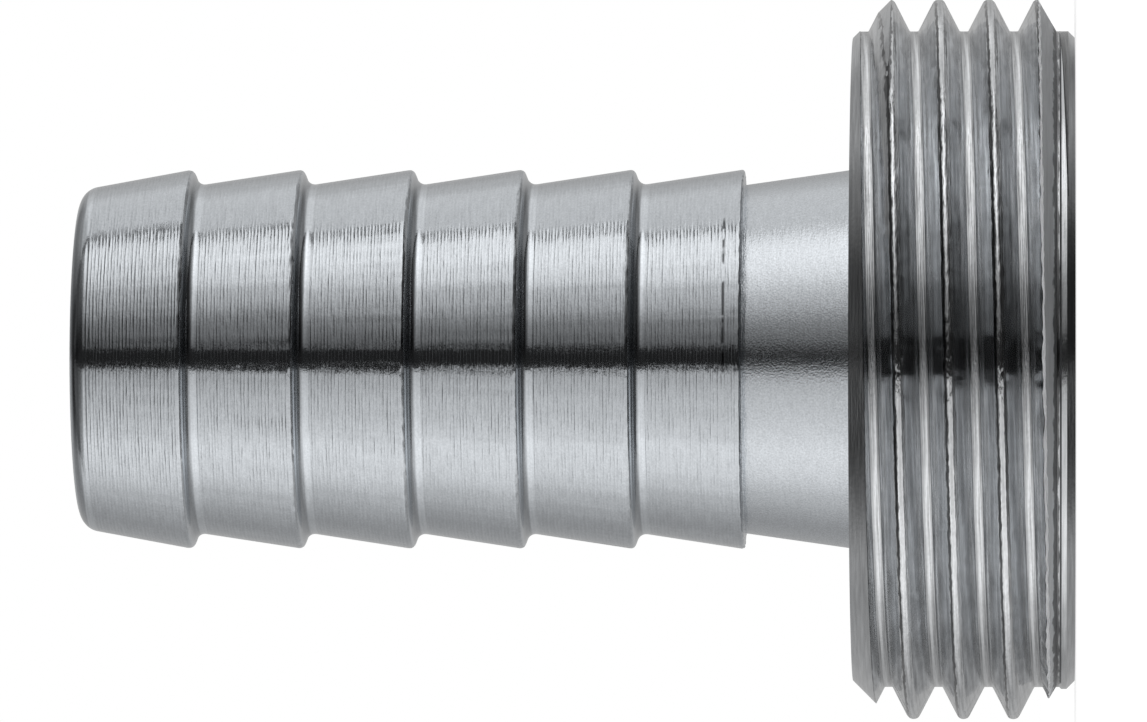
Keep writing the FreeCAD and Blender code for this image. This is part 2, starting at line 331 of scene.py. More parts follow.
def thread_corners(thread, top):
    """The thread's section from well below the end face to well above the collar."""
    root = thread.crest_radius - thread.depth
    apex = thread_apex(thread)
    flank_run = (apex - root) * math.tan(thread.half_angle)
    height = thread.start - 2 * thread.pitch
    corners = [(root, height - thread.pitch / 2, 0.0)]
    while height < top + thread.pitch:
        corners.append((root, height - flank_run, thread.root_fillet))
        corners.append((apex, height, thread.crest_round))
        corners.append((root, height + flank_run, thread.root_fillet))
        height += thread.pitch
    corners.append((root, height - thread.pitch / 2, 0.0))
    return corners


# Mesh of the fitting

def radius_of(vert):
    return Vector(vert.co.xy).length


def uneven(vert, fineness):
    """Between -1 and 1, wandering over the surface so many times in a millimetre."""
    return noise.noise(vert.co * (fineness / MM))


def fray(verts, depth, fineness):
    """Wears an edge: its corners move along the axis by up to the depth, and in by half of it."""
    for vert in verts:
        vert.co.xy *= 1 - 0.5 * depth * abs(uneven(vert, 1.3 * fineness)) / radius_of(vert)
        vert.co.z += depth * uneven(vert, fineness)


def spin_round(bm, steps, rise=0.0):
    """Takes an outline a full turn about the axis, climbing by rise if it is a thread.

    A sector is spun and then repeated all round, which is much quicker than one long spin.
    """
    sector = math.tau / SECTORS
    axis = {"cent": (0.0, 0.0, 0.0), "axis": (0.0, 0.0, 1.0), "use_merge": False}
    bmesh.ops.spin(
        bm, geom=[*bm.verts, *bm.edges], dvec=(0.0, 0.0, rise / steps), angle=sector,
        steps=steps // SECTORS, **axis,
    )
    bmesh.ops.spin(
        bm, geom=[*bm.verts, *bm.edges, *bm.faces], dvec=(0.0, 0.0, rise / SECTORS),
        angle=math.tau - sector, steps=SECTORS - 1, use_duplicate=True, **axis,
    )
    bmesh.ops.remove_doubles(bm, verts=bm.verts, dist=WELD)


def cut_level(bm, height, **cleared):
    """Cuts the skin right through at a height, and clears what lies to the side that is named."""
    bmesh.ops.bisect_plane(
        bm, geom=[*bm.verts, *bm.edges, *bm.faces], dist=WELD,
        plane_co=(0.0, 0.0, height), plane_no=(0.0, 0.0, 1.0), **cleared,
    )


def collar_limit(thread, top):
    """The widest that turning leaves the collar: (height, radius) stations joined by cones."""
    clear = thread.crest_radius + HOLD
    groove = thread.crest_radius - thread.depth
    groove_width = 0.1 * MM
    chamfer_top = thread.lead_radius - thread.face_radius
    cone = (clear - thread.lead_radius) * math.tan(thread.lead_angle)
    wall = thread.lead_radius - groove
    foot = thread.lead_length - wall * math.tan(thread.lead_angle)
    return [
        (0.0, thread.face_radius),
        (chamfer_top, thread.lead_radius),
        (foot - groove_width - wall, thread.lead_radius),
        (foot - groove_width, groove),
        (foot, groove),
        (thread.lead_length + cone, clear),
        (top - (clear - thread.face_radius), clear),
        (top, thread.face_radius),
    ]


def is_lead_cone(lower, upper):
    """Whether the thread starts on the cone between two stations, steeper than any chamfer."""
    chamfer_slope = 1.0
    return upper[1] - lower[1] > 1.2 * chamfer_slope * (upper[0] - lower[0])


def turn_down(bm, lower, upper, widest):
    """Cuts what stands outside the cone between two (height, radius) stations.

    The lead cone's cut edge is frayed along it, out to the widest radius at the most.
    """
    slope = (upper[1] - lower[1]) / (upper[0] - lower[0])

    def limit(vert):
        return lower[1] + slope * (vert.co.z - lower[0])

    inside = {
        vert for vert in bm.verts if lower[0] - WELD < vert.co.z < upper[0] + WELD
    }
    crossing = []
    for edge in bm.edges:
        if not inside.issuperset(edge.verts):
            continue
        first, second = (radius_of(vert) - limit(vert) for vert in edge.verts)
        if min(first, second) < -WELD and max(first, second) > WELD:
            crossing.append((edge, edge.verts[0], first / (first - second)))
    made = [bmesh.utils.edge_split(*split)[1] for split in crossing]
    bmesh.ops.connect_verts(bm, verts=made)
    if is_lead_cone(lower, upper):
        highest = min(upper[0], lower[0] + (widest - lower[1]) / slope)
        for vert in made:
            if lower[0] + WELD < vert.co.z < upper[0] - WELD:
                frayed = vert.co.z + CONE_FRAY * uneven(vert, CONE_FRAYS)
                vert.co.z = min(max(frayed, lower[0]), highest)
    cut = made + [vert for vert in inside if radius_of(vert) > limit(vert)]
    for vert in cut:
        vert.co.xy = Vector(vert.co.xy).normalized() * limit(vert)


def make_collar(bm, thread, top, steps):
    """Winds the thread, faces it at both ends and chamfers it."""
    draw_outline(bm, thread_corners(thread, top))
    spin_round(bm, steps, thread.pitch)
    crest = thread.crest_radius - thread.crest_round
    fray([vert for vert in bm.verts if radius_of(vert) > crest], CREST_FRAY, THREAD_FRAYS)
    cut_level(bm, 0.0, clear_inner=True)
    cut_level(bm, top, clear_outer=True)
    stations = collar_limit(thread, top)
    for height, _ in stations[1:-1]:
        cut_level(bm, height)
    for lower, upper in zip(stations, stations[1:]):
        turn_down(bm, lower, upper, thread.crest_radius)
    bmesh.ops.dissolve_degenerate(bm, dist=WELD, edges=bm.edges)


def made_mesh(bm, name):
    """A mesh from a bmesh that isn't needed any more."""
    mesh = bpy.data.meshes.new(name)
    bm.to_mesh(mesh)
    bm.free()
    return mesh


def make_tail(tail):
    """Turns the tail's outline into a skin that is open at the collar's two faces."""
    bm = bmesh.new()
    draw_tail(bm, tail)
    spin_round(bm, tail.steps)
    crest = tail.barb_radius - 0.5 * tail.crest_round
    above_neck = neck_end(tail) - HOLD
    barb_crests = [
        vert for vert in bm.verts if radius_of(vert) > crest and vert.co.z > above_neck
    ]
    fray(barb_crests, CREST_FRAY, BARB_FRAYS)
    return made_mesh(bm, "tail_alone")


def rim(bm, height, radius, outer):
    """The open edges at a height that lie outside the radius, or inside it."""
    return [
        edge for edge in bm.edges
        if edge.is_boundary
        and all(abs(vert.co.z - height) < WELD * 4 for vert in edge.verts)
        and all((radius_of(vert) > radius) == outer for vert in edge.verts)
    ]


def make_fitting(tail, thread):
    """One closed skin: the tail and the threaded collar, joined across the collar's two faces."""
    bm = bmesh.new()
    make_collar(bm, thread, tail.collar_length, tail.steps)
    tail_mesh = make_tail(tail)
    bm.from_mesh(tail_mesh)
    bpy.data.meshes.remove(tail_mesh)
    middle = (thread.face_radius + tail.neck_radius) / 2
    for height in (0.0, tail.collar_length):
        loops = rim(bm, height, middle, True) + rim(bm, height, middle, False)
        bmesh.ops.bridge_loops(bm, edges=loops)
    bmesh.ops.recalc_face_normals(bm, faces=bm.faces)
    return bm


# Finishes

class SteelLook(bpy.types.PropertyGroup):
    """Colour and tool marks that the finishes share."""

    colour: FloatVectorProperty(
        name="Steel", description="Colour of the bare steel",
        default=(0.585, 0.612, 0.64), subtype="COLOR", min=0.0, max=1.0,
    )
    # the collar's steel is tinted a little lighter than the tail's, as painted light
    collar_colour_with_painted_light: FloatVectorProperty(
        name="Collar steel", description="Colour of the collar, which was cut afresh",
        default=(0.62, 0.632, 0.645), subtype="COLOR", min=0.0, max=1.0,
    )
    feed: FloatProperty(
        name="Feed", description="Width of one groove of the tool",
        default=0.125 * MM, unit="LENGTH", subtype="DISTANCE",
    )
    groove_depth: FloatProperty(
        name="Groove depth", description="Depth of the tool's grooves",
        default=0.0048 * MM, unit="LENGTH", subtype="DISTANCE",
    )
    streak_depth: FloatProperty(
        name="Streak depth", description="Unevenness from one groove to the next",
        default=0.0145 * MM, unit="LENGTH", subtype="DISTANCE",
    )
    grain_depth: FloatProperty(
        name="Grain depth", description="Fine tearing of the surface",
        default=0.002 * MM, unit="LENGTH", subtype="DISTANCE",
    )
    tear_depth: FloatProperty(
        name="Tear depth", description="How torn the thread's crest is",
        default=0.035 * MM, unit="LENGTH", subtype="DISTANCE",
    )
    burr_drop: FloatProperty(
        name="Burr drop", description="How far the burr on the cone's cut edge is rolled over",
        default=0.05 * MM, unit="LENGTH", subtype="DISTANCE",
    )
    scored_line: FloatProperty(
        name="Scored line", description="Collar's end face to the line scored in the last barb",
        default=12.63 * MM, unit="LENGTH", subtype="DISTANCE",
    )
    scored_width: FloatProperty(
        name="Scored width", description="Width of the scored line",
        default=0.085 * MM, unit="LENGTH", subtype="DISTANCE",
    )


class Shading:
    """The nodes of a material or of the world, with short ways to add to them."""

    def __init__(self, tree):
        self.tree = tree

    def first(self, kind):
        """The node of a type that is there from the start."""
        return next(node for node in self.tree.nodes if node.type == kind)

    def node(self, kind, **settings):
        made = self.tree.nodes.new(kind)
        for name, value in settings.items():
            setattr(made, name, value)
        return made

    def link(self, source, target):
        self.tree.links.new(source, target)

    def feed(self, socket, value):
        """Links a socket to another node, or sets it to a number."""
        if isinstance(value, bpy.types.NodeSocket):
            self.link(value, socket)
        else:
            socket.default_value = value

    def sum(self, operation, *values):
        """What an operation makes of sockets and numbers."""
        made = self.node("ShaderNodeMath", operation=operation)
        for socket, value in zip(made.inputs, values):
            self.feed(socket, value)
        return made.outputs["Value"]

    def less(self, value, where, share):
        """The value, short of this share of it where the socket is 1."""
        return self.sum("MULTIPLY", value, self.sum("MULTIPLY_ADD", where, -share, 1.0))

    def span(self, value, low, high, first=0.0, last=1.0, interpolation="SMOOTHSTEP"):
        """A change from first to last while the value goes from low to high."""
        made = self.node("ShaderNodeMapRange", interpolation_type=interpolation)
        self.link(value, made.inputs["Value"])
        for socket, number in (
            ("From Min", low), ("From Max", high), ("To Min", first), ("To Max", last),
        ):
            made.inputs[socket].default_value = number
        return made.outputs["Result"]

    def ramp(self, value, stops):
        """Greys that run smoothly into one another: stops of (place along the ramp, grey)."""
        made = self.node("ShaderNodeValToRGB")
        made.color_ramp.interpolation = "EASE"
        while len(made.color_ramp.elements) < len(stops):
            made.color_ramp.elements.new(0.5)
        for element, (place, grey) in zip(made.color_ramp.elements, stops):
            element.position = place
            element.color = (grey, grey, grey, 1.0)
        self.link(value, made.inputs["Fac"])
        return made.outputs["Color"]

    def place(self):
        """Where a point lies on the object."""
        return self.node("ShaderNodeTexCoord").outputs["Object"]

    def axes(self, vector):
        made = self.node("ShaderNodeSeparateXYZ")
        self.link(vector, made.inputs["Vector"])
        return [made.outputs[axis] for axis in "XYZ"]

    def joined(self, *values):
        made = self.node("ShaderNodeCombineXYZ")
        for socket, value in zip(made.inputs, values):
            self.feed(socket, value)
        return made.outputs["Vector"]

    def length(self, vector):
        made = self.node("ShaderNodeVectorMath", operation="LENGTH")
        self.link(vector, made.inputs[0])
        return made.outputs["Value"]


class Steel(Shading):
    """A steel finish. The heights of its bump are in metres, and run outwards."""

    def __init__(self, name, colour, roughness, brushing):
        self.material = bpy.data.materials.new(name)
        self.material.use_nodes = True
        super().__init__(self.material.node_tree)
        self.shader = self.first("BSDF_PRINCIPLED")
        self.shader.inputs["Base Color"].default_value = (*colour, 1.0)
        self.shader.inputs["Metallic"].default_value = 1.0
        self.shader.inputs["Roughness"].default_value = roughness
        self.shader.inputs["Anisotropic"].default_value = brushing
        self.shader.inputs["Anisotropic Rotation"].default_value = 0.25
        tangent = self.node("ShaderNodeTangent", direction_type="RADIAL", axis="Z")
        self.link(tangent.outputs["Tangent"], self.shader.inputs["Tangent"])
        self.here = self.place()

    def noise(self, place, detail, fourth=None):
        made = self.node("ShaderNodeTexNoise")
        made.inputs["Scale"].default_value = 1.0
        made.inputs["Detail"].default_value = detail
        self.link(place, made.inputs["Vector"])
        if fourth is not None:
            made.noise_dimensions = "4D"
            self.link(fourth, made.inputs["W"])
        return made.outputs["Fac"]

    def marks(self, across, along, detail=2.0):
        """Marks of which so many go to a millimetre across the axis, and so many along it."""
        made = self.node("ShaderNodeMapping")
        made.inputs["Scale"].default_value = (across / MM, across / MM, along / MM)
        self.link(self.here, made.inputs["Vector"])
        return self.noise(made.outputs["Vector"], detail)

    def tint(self, factor):
        """Makes the steel darker or lighter by a factor."""
        made = self.node("ShaderNodeVectorMath", operation="SCALE")
        made.inputs["Vector"].default_value = self.shader.inputs["Base Color"].default_value[:3]
        self.link(factor, made.inputs["Scale"])
        self.link(made.outputs["Vector"], self.shader.inputs["Base Color"])

    def bump(self, height):
        made = self.node("ShaderNodeBump")
        made.inputs["Strength"].default_value = 1.0
        made.inputs["Distance"].default_value = 1.0
        self.link(height, made.inputs["Height"])
        self.link(made.outputs["Normal"], self.shader.inputs["Normal"])


def scored_line(steel, look):
    """The line that the tool scored near the neck, broken here and there and at the front only."""
    across, back, along = steel.axes(steel.here)
    from_line = steel.sum("SUBTRACT", along, look.scored_line)
    near_line = steel.sum("DIVIDE", steel.sum("ABSOLUTE", from_line), look.scored_width)
    scored = steel.span(near_line, 0.7, 0.3)
    bearing = steel.sum("ARCTAN2", across, steel.sum("MULTIPLY", back, -1.0))
    broken = steel.span(steel.marks(1.2, 0.5), 0.42, 0.5)
    begins = steel.span(bearing, -0.2, 0.0)
    ends = steel.span(bearing, 0.86, 0.8)
    for share in (broken, begins, ends):
        scored = steel.sum("MULTIPLY", scored, share)
    return scored


def turned_barbs(scene):
    """Fine grooves from the tool, each a little different and changing as it goes round."""
    look, tail = scene.steel_look, scene.tail_sizes
    steel = Steel("turned_barbs", look.colour, 0.14, 0.8)
    along = steel.axes(steel.here)[2]
    turns = steel.sum("MULTIPLY", along, 1 / look.feed)
    turns = steel.sum("MULTIPLY_ADD", steel.marks(0.15, 2.5), 1.2, turns)
    offset = steel.sum("SUBTRACT", steel.sum("FRACT", turns), 0.5)
    scallop = steel.sum("MULTIPLY", offset, offset)
    grooves = steel.sum("MULTIPLY", scallop, steel.marks(0.5, 7.0, 3.0))
    streaks = steel.marks(1.1, 9.0, 3.0)
    grain = steel.marks(11.0, 14.0)
    # the tool leaves the foot of each barb smoother, with a painted highlight on it, and painted
    # shade darkens the step and root behind it, in the gap between barbs
    barbs = steel.sum("MULTIPLY_ADD", along, 1 / tail.barb_pitch, -neck_end(tail) / tail.barb_pitch)
    share = steel.sum("FRACT", barbs)
    smooth = steel.span(share, 0.84, 0.86)
    painted_shade = steel.sum("MULTIPLY", steel.span(share, 0.905, 0.925), steel.span(share, 0.99, 0.97))
    height = steel.sum("MULTIPLY", grooves, 8 * look.groove_depth)
    height = steel.sum("MULTIPLY_ADD", streaks, look.streak_depth, height)
    height = steel.less(height, smooth, 0.75)
    steel.bump(steel.sum("MULTIPLY_ADD", grain, look.grain_depth, height))
    shade = steel.sum("MULTIPLY_ADD", grain, 0.38, 0.66)
    shade = steel.sum("MULTIPLY_ADD", streaks, 0.3, shade)
    shade = steel.sum("MULTIPLY_ADD", steel.sum("ABSOLUTE", offset), 0.16, shade)
    # painted highlight along the foot of each barb
    shade = steel.sum("MULTIPLY_ADD", smooth, 0.15, shade)
    # painted shade on the step and root between the barbs
    shade = steel.sum("SUBTRACT", steel.less(shade, painted_shade, 0.35), 0.04)
    steel.tint(steel.less(shade, scored_line(steel, look), 0.8))
    return steel.material


def matt_neck(scene):
    """A duller surface than the barbs', with a coarser grain and no grooves."""
    look = scene.steel_look
    steel = Steel("matt_neck", look.colour, 0.19, 0.6)
    streaks = steel.marks(1.1, 9.0, 3.0)
    grain = steel.marks(14.0, 16.0)
    height = steel.sum("MULTIPLY", streaks, 0.5 * look.streak_depth)
    steel.bump(steel.sum("MULTIPLY_ADD", grain, 3.5 * look.grain_depth, height))
    shade = steel.sum("MULTIPLY_ADD", grain, 0.6, 0.64)
    steel.tint(steel.sum("MULTIPLY_ADD", streaks, 0.2, shade))
    return steel.material


def turn_from_crest(steel, thread):
    """Where a point is between one crest and the next: cosine, sine and angle, 0 at a crest."""
    across, back, along = steel.axes(steel.here)
    turns = steel.sum("MULTIPLY_ADD", along, 1 / thread.pitch, -thread.start / thread.pitch)
    bearing = steel.sum("ARCTAN2", back, across)
    turns = steel.sum("MULTIPLY_ADD", bearing, -1 / math.tau, turns)
    angle = steel.sum("MULTIPLY", turns, math.tau)
    crestward = steel.sum("COSINE", angle)
    tailward = steel.sum("SINE", angle)
    return crestward, tailward, steel.sum("ARCTAN2", tailward, crestward)


def thread_streaks(steel, thread, crestward, tailward):
    """Tool marks that run along the thread: fine across it, and some millimetres long."""
    across, back, _ = steel.axes(steel.here)
    fine = thread.pitch / MM * 13 / math.tau
    drawn_out = 0.35 / MM
    place = steel.joined(
        steel.sum("MULTIPLY", crestward, fine),
        steel.sum("MULTIPLY", tailward, fine),
        steel.sum("MULTIPLY", across, drawn_out),
    )
    return steel.noise(place, 4.0, steel.sum("MULTIPLY", back, drawn_out))


def cut_thread(scene):
    """Tool marks that follow the thread, deepest in its root, and a torn crest, with painted shade
    and a painted highlight across the thread.
    """
    look, tail, thread = scene.steel_look, scene.tail_sizes, scene.thread_sizes
    steel = Steel("cut_thread", look.collar_colour_with_painted_light, 0.12, 0.5)
    across, back, along = steel.axes(steel.here)
    crestward, tailward, from_crest = turn_from_crest(steel, thread)
    streaks = thread_streaks(steel, thread, crestward, tailward)
    grain = steel.marks(6.0, 11.0)
    tears = steel.marks(1.8, 6.0, 3.0)
    root = steel.span(crestward, -0.8, -0.95)
    crest = steel.span(crestward, 0.86, 0.95)
    marks = steel.sum("MULTIPLY_ADD", root, 2.2 * look.streak_depth, 0.7 * look.streak_depth)
    height = steel.sum("MULTIPLY", streaks, marks)
    height = steel.sum("MULTIPLY_ADD", grain, look.grain_depth, height)
    torn = steel.sum("MULTIPLY", crest, tears)
    steel.bump(steel.sum("MULTIPLY_ADD", torn, look.tear_depth, height))
    # painted light: the root is darkened but for its middle, which leaves a painted highlight
    # there, and each crest is torn, with a ragged painted shade along one side of it
    shade = steel.sum("MULTIPLY_ADD", streaks, 2.2, 0.02)
    shade = steel.sum("MULTIPLY_ADD", steel.sum("SUBTRACT", grain, 0.5), 0.3, shade)
    off_middle = steel.span(crestward, -0.985, -0.93)
    near_root = steel.span(crestward, -0.7, -0.85)
    shade = steel.less(shade, steel.sum("MULTIPLY", off_middle, near_root), 0.35)
    ragged = steel.sum("MULTIPLY_ADD", tears, 0.5, 0.25)
    beside = steel.sum("ABSOLUTE", steel.sum("SUBTRACT", from_crest, ragged))
    # painted shade along one side of each crest
    shade = steel.less(shade, steel.span(beside, 0.2, 0.1), 0.8)
    # painted shade: the flank towards the threaded end is darkened
    painted_shade = steel.sum(
        "MULTIPLY", steel.span(from_crest, -0.5, -0.8), steel.span(from_crest, -2.7, -2.3)
    )
    shade = steel.less(shade, painted_shade, 0.2)
    # painted shade: ragged dark lines on the thread along the cone that the thread starts on, and
    # along the chamfer
    radius = steel.length(steel.joined(across, back))
    slope = 1 / math.tan(thread.lead_angle)
    for rate, limit_at_end, depth in (
        (slope, thread.lead_radius - thread.lead_length * slope, 0.1),
        (-1.0, thread.face_radius + tail.collar_length, 0.07),
    ):
        limit = steel.sum("MULTIPLY_ADD", along, rate, limit_at_end)
        inside = steel.sum("SUBTRACT", limit, radius)
        inside = steel.sum("MULTIPLY_ADD", tears, 0.3 * MM, inside)
        painted_edge_shade = steel.span(inside, (0.18 + depth) * MM, (0.12 + depth) * MM)
        # painted shade where the thread meets the cone and the chamfer
        shade = steel.less(shade, painted_edge_shade, 0.75)
    steel.tint(steel.sum("MAXIMUM", steel.sum("MINIMUM", shade, 1.4), 0.1))
    return steel.material


def paint_corner_shade(steel, shade, thread):
    """The shade, with painted shade along the corner where the thread's cone begins."""
    middle = thread.lead_length - 0.02 * MM
    along = steel.axes(steel.here)[2]
    from_middle = steel.sum("ABSOLUTE", steel.sum("SUBTRACT", along, middle))
    ragged_shade = steel.marks(1.6, 5.0, 4.0)
    from_middle = steel.sum("MULTIPLY_ADD", ragged_shade, 0.25 * MM, from_middle)
    # painted shade in the corner, made ragged
    return steel.less(shade, steel.span(from_middle, 0.25 * MM, 0.2 * MM), 0.75)


def faced_ends(scene):
    """Turned faces, with painted shade along the corner where the thread's cone begins."""
    look = scene.steel_look
    steel = Steel("faced_ends", look.collar_colour_with_painted_light, 0.16, 0.3)
    streaks = steel.marks(0.6, 12.0, 3.0)
    grain = steel.marks(6.0, 8.0)
    height = steel.sum("MULTIPLY", streaks, 0.5 * look.streak_depth)
    steel.bump(steel.sum("MULTIPLY_ADD", grain, 2 * look.grain_depth, height))
    shade = steel.sum("MULTIPLY_ADD", streaks, 0.8, 0.6)
    steel.tint(paint_corner_shade(steel, shade, scene.thread_sizes))
    return steel.material


def matt_cone(scene):
    """The cone that the thread starts on, matt, with a rolled burr and a painted highlight along it
    where it cuts the thread.
    """
    look, thread = scene.steel_look, scene.thread_sizes
    steel = Steel("matt_cone", look.collar_colour_with_painted_light, 0.4, 0.2)
    streaks = steel.marks(0.6, 12.0, 3.0)
    tears = steel.marks(2.2, 6.0, 3.0)
    # the ridge is where the cone meets the thread's flank, or its crest
    cone_slope = 1 / math.tan(thread.lead_angle)
    flank_slope = 1 / math.tan(thread.half_angle)
    below_apex = thread_apex(thread) - thread.lead_radius + thread.lead_length * cone_slope
    top = thread.lead_length + (thread.crest_radius - thread.lead_radius) / cone_slope
    along = steel.axes(steel.here)[2]
    from_crest = turn_from_crest(steel, thread)[2]
    crest = steel.sum("MULTIPLY_ADD", from_crest, -thread.pitch / math.tau, along)
    both_slopes = cone_slope + flank_slope
    ridge = steel.sum("MULTIPLY_ADD", crest, flank_slope / both_slopes, below_apex / both_slopes)
    ridge = steel.sum("MINIMUM", ridge, top)
    from_ridge = steel.sum("SUBTRACT", ridge, along)
    from_ridge = steel.sum("MULTIPLY_ADD", tears, 0.16 * MM, from_ridge)
    burr = steel.span(from_ridge, 0.18 * MM, 0.15 * MM)
    height = steel.sum("MULTIPLY", streaks, 0.5 * look.streak_depth)
    steel.bump(steel.sum("MULTIPLY_ADD", burr, -look.burr_drop, height))
    # the cone is tinted lighter than the faced ends, as painted light
    shade = steel.sum("MULTIPLY_ADD", streaks, 0.6, 1.0)
    # painted highlight along the burr: a ragged lighter tint
    torn = steel.sum("MULTIPLY", burr, steel.span(tears, 0.3, 0.6, 0.4, 1.0))
    steel.tint(paint_corner_shade(steel, steel.sum("ADD", torn, shade), thread))
    # less metal along the burr, so that its painted highlight shows from every side
    steel.link(steel.sum("MULTIPLY_ADD", burr, -0.5, 0.55), steel.shader.inputs["Metallic"])
    return steel.material


def drilled_waterway(scene):
    """The marks that the drill left round the hole."""
    look = scene.steel_look
    steel = Steel("drilled_waterway", look.colour, 0.3, 0.3)
    steel.bump(steel.sum("MULTIPLY", steel.marks(0.4, 6.0, 3.0), 2 * look.streak_depth))
    return steel.material


FINISHES = (turned_barbs, matt_neck, cut_thread, faced_ends, matt_cone, drilled_waterway)


def finish_of(face, tail, stations):
    """Which finish a face has, from where it lies."""
    centre = face.calc_center_median()
    radius = Vector(centre.xy).length
    close = 0.002 * MM
    if radius < tail.bore_radius + tail.bore_bevel - close:
        return drilled_waterway
    if centre.z > tail.collar_length + close:
        return matt_neck if centre.z < neck_end(tail) - close else turned_barbs
    if min(centre.z, tail.collar_length - centre.z) < close:
        return faced_ends
    for lower, upper in zip(stations, stations[1:]):
        if lower[0] <= centre.z <= upper[0]:
            share = (centre.z - lower[0]) / (upper[0] - lower[0])
            limit = lower[1] + share * (upper[1] - lower[1])
            if radius < limit - close:
                return cut_thread
            return matt_cone if is_lead_cone(lower, upper) else faced_ends
    return cut_thread


# Operators

def put_in_scene(name, data):
    placed = bpy.data.objects.new(name, data)
    bpy.context.scene.collection.objects.link(placed)
    return placed


class MESH_OT_add_hose_barb_tail(bpy.types.Operator):
    """Turn the fitting, with its barbs, its thread and its waterway"""

    bl_idname = "mesh.add_hose_barb_tail"
    bl_label = "Hose barb tail"

    def execute(self, context):
        scene = context.scene
        tail, thread = scene.tail_sizes, scene.thread_sizes
        bm = make_fitting(tail, thread)
        stations = collar_limit(thread, tail.collar_length)
        for face in bm.faces:
            face.smooth = True
            face.material_index = FINISHES.index(finish_of(face, tail, stations))
        crease = math.radians(25)
        for edge in bm.edges:
            edge.smooth = len(edge.link_faces) == 2 and edge.calc_face_angle() < crease
        open_edges = [edge for edge in bm.edges if not edge.is_manifold]
        if open_edges:
            raise RuntimeError("the fitting's skin has " + str(len(open_edges)) + " open edges")
        mesh = made_mesh(bm, "turned_fitting")
        for finish in FINISHES:
            mesh.materials.append(finish(scene))
        piece = put_in_scene("turned_fitting", mesh)
        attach(piece, BODY)
        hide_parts(NODE)
        return {"FINISHED"}


class Studio(bpy.types.PropertyGroup):
    """Where the camera stands and how far off the panels are."""

    camera_distance: FloatProperty(
        name="Camera distance", description="Camera to the fitting's axis",
        default=419 * MM, unit="LENGTH", subtype="DISTANCE",
    )
    camera_height: FloatProperty(
        name="Camera height", description="Camera above the floor",
        default=1.37 * MM, unit="LENGTH", subtype="DISTANCE",
    )
    target_height: FloatProperty(
        name="Target height", description="Height on the axis that the camera is aimed at",
        default=18.25 * MM, unit="LENGTH", subtype="DISTANCE",
    )
    panel_distance: FloatProperty(
        name="Panel distance", description="Fitting to the light panels",
        default=600 * MM, unit="LENGTH", subtype="DISTANCE",
    )


class SCENE_OT_add_studio(bpy.types.Operator):
    """Set up the floor, the background, the light panels and the camera"""

    bl_idname = "scene.add_studio"
    bl_label = "Studio"

    def execute(self, context):
        scene = context.scene
        aim_camera(scene)
        light_world(scene)
        lay_floor()
        hang_panels(scene.studio)
        scene.view_settings.view_transform = "Standard"
        return {"FINISHED"}


WHITE = (1.0, 1.0, 1.0, 1.0)


def aim_camera(scene):
    """The camera lies on its side, so that the fitting's tip points left in the picture."""
    # the picture's middle line lies this far off the axis
    drop = -0.0656 * MM
    data = bpy.data.cameras.new("camera")
    data.sensor_width = 36.0
    data.lens = 361.0
    place = Vector((drop, -scene.studio.camera_distance, scene.studio.camera_height))
    target = Vector((drop, 0.0, scene.studio.target_height))
    backward = (place - target).normalized()
    up = Vector((1.0, 0.0, 0.0))
    right = up.cross(backward).normalized()
    up = backward.cross(right)
    turn = Matrix((right, up, backward)).transposed().to_4x4()
    camera = put_in_scene("camera", data)
    camera.matrix_world = Matrix.Translation(place) @ turn
    scene.camera = camera


def light_world(scene):
    """Plain white all round: the camera and reflections see it white, and it lights evenly."""
    world = bpy.data.worlds.new("studio_air")
    world.use_nodes = True
    air = Shading(world.node_tree)
    light = air.first("BACKGROUND")
    light.inputs["Color"].default_value = WHITE
    path = air.node("ShaderNodeLightPath").outputs
    seen = air.sum("MAXIMUM", path["Is Camera Ray"], path["Is Glossy Ray"])
    seen = air.sum("MAXIMUM", seen, path["Is Transmission Ray"])
    air.link(air.span(seen, 0.0, 1.0, 0.8, 1.0), light.inputs["Strength"])
    scene.world = world


def lay_floor():
    """A pale floor. Its underside is clear, so that the fitting can be looked at from below."""
    bm = bmesh.new()
    bmesh.ops.create_grid(bm, x_segments=1, y_segments=1, size=3.0)
    mesh = made_mesh(bm, "floor")
    material = bpy.data.materials.new("pale_floor")
    material.use_nodes = True
    paint = Shading(material.node_tree)
    shader = paint.first("BSDF_PRINCIPLED")
    shader.inputs["Base Color"].default_value = (0.55, 0.55, 0.55, 1.0)
    shader.inputs["Roughness"].default_value = 0.9
    shader.inputs["Specular IOR Level"].default_value = 0.0
    shader.inputs["Emission Color"].default_value = WHITE
    seen = paint.node("ShaderNodeLightPath").outputs["Is Camera Ray"]
    paint.link(paint.sum("MULTIPLY", seen, 0.6), shader.inputs["Emission Strength"])
    output = paint.first("OUTPUT_MATERIAL")
    under = paint.node("ShaderNodeNewGeometry").outputs["Backfacing"]
    clear = paint.node("ShaderNodeBsdfTransparent").outputs["BSDF"]
    either = paint.node("ShaderNodeMixShader")
    for socket, value in zip(either.inputs, (under, shader.outputs["BSDF"], clear)):
        paint.link(value, socket)
    paint.link(either.outputs["Shader"], output.inputs["Surface"])
    mesh.materials.append(material)
    floor = put_in_scene("floor", mesh)
    floor.visible_glossy = False
    # a hair below the end face, so that the two surfaces don't lie in each other
    floor.location = (0.0, 0.0, cad_low.z - 0.02 * MM)


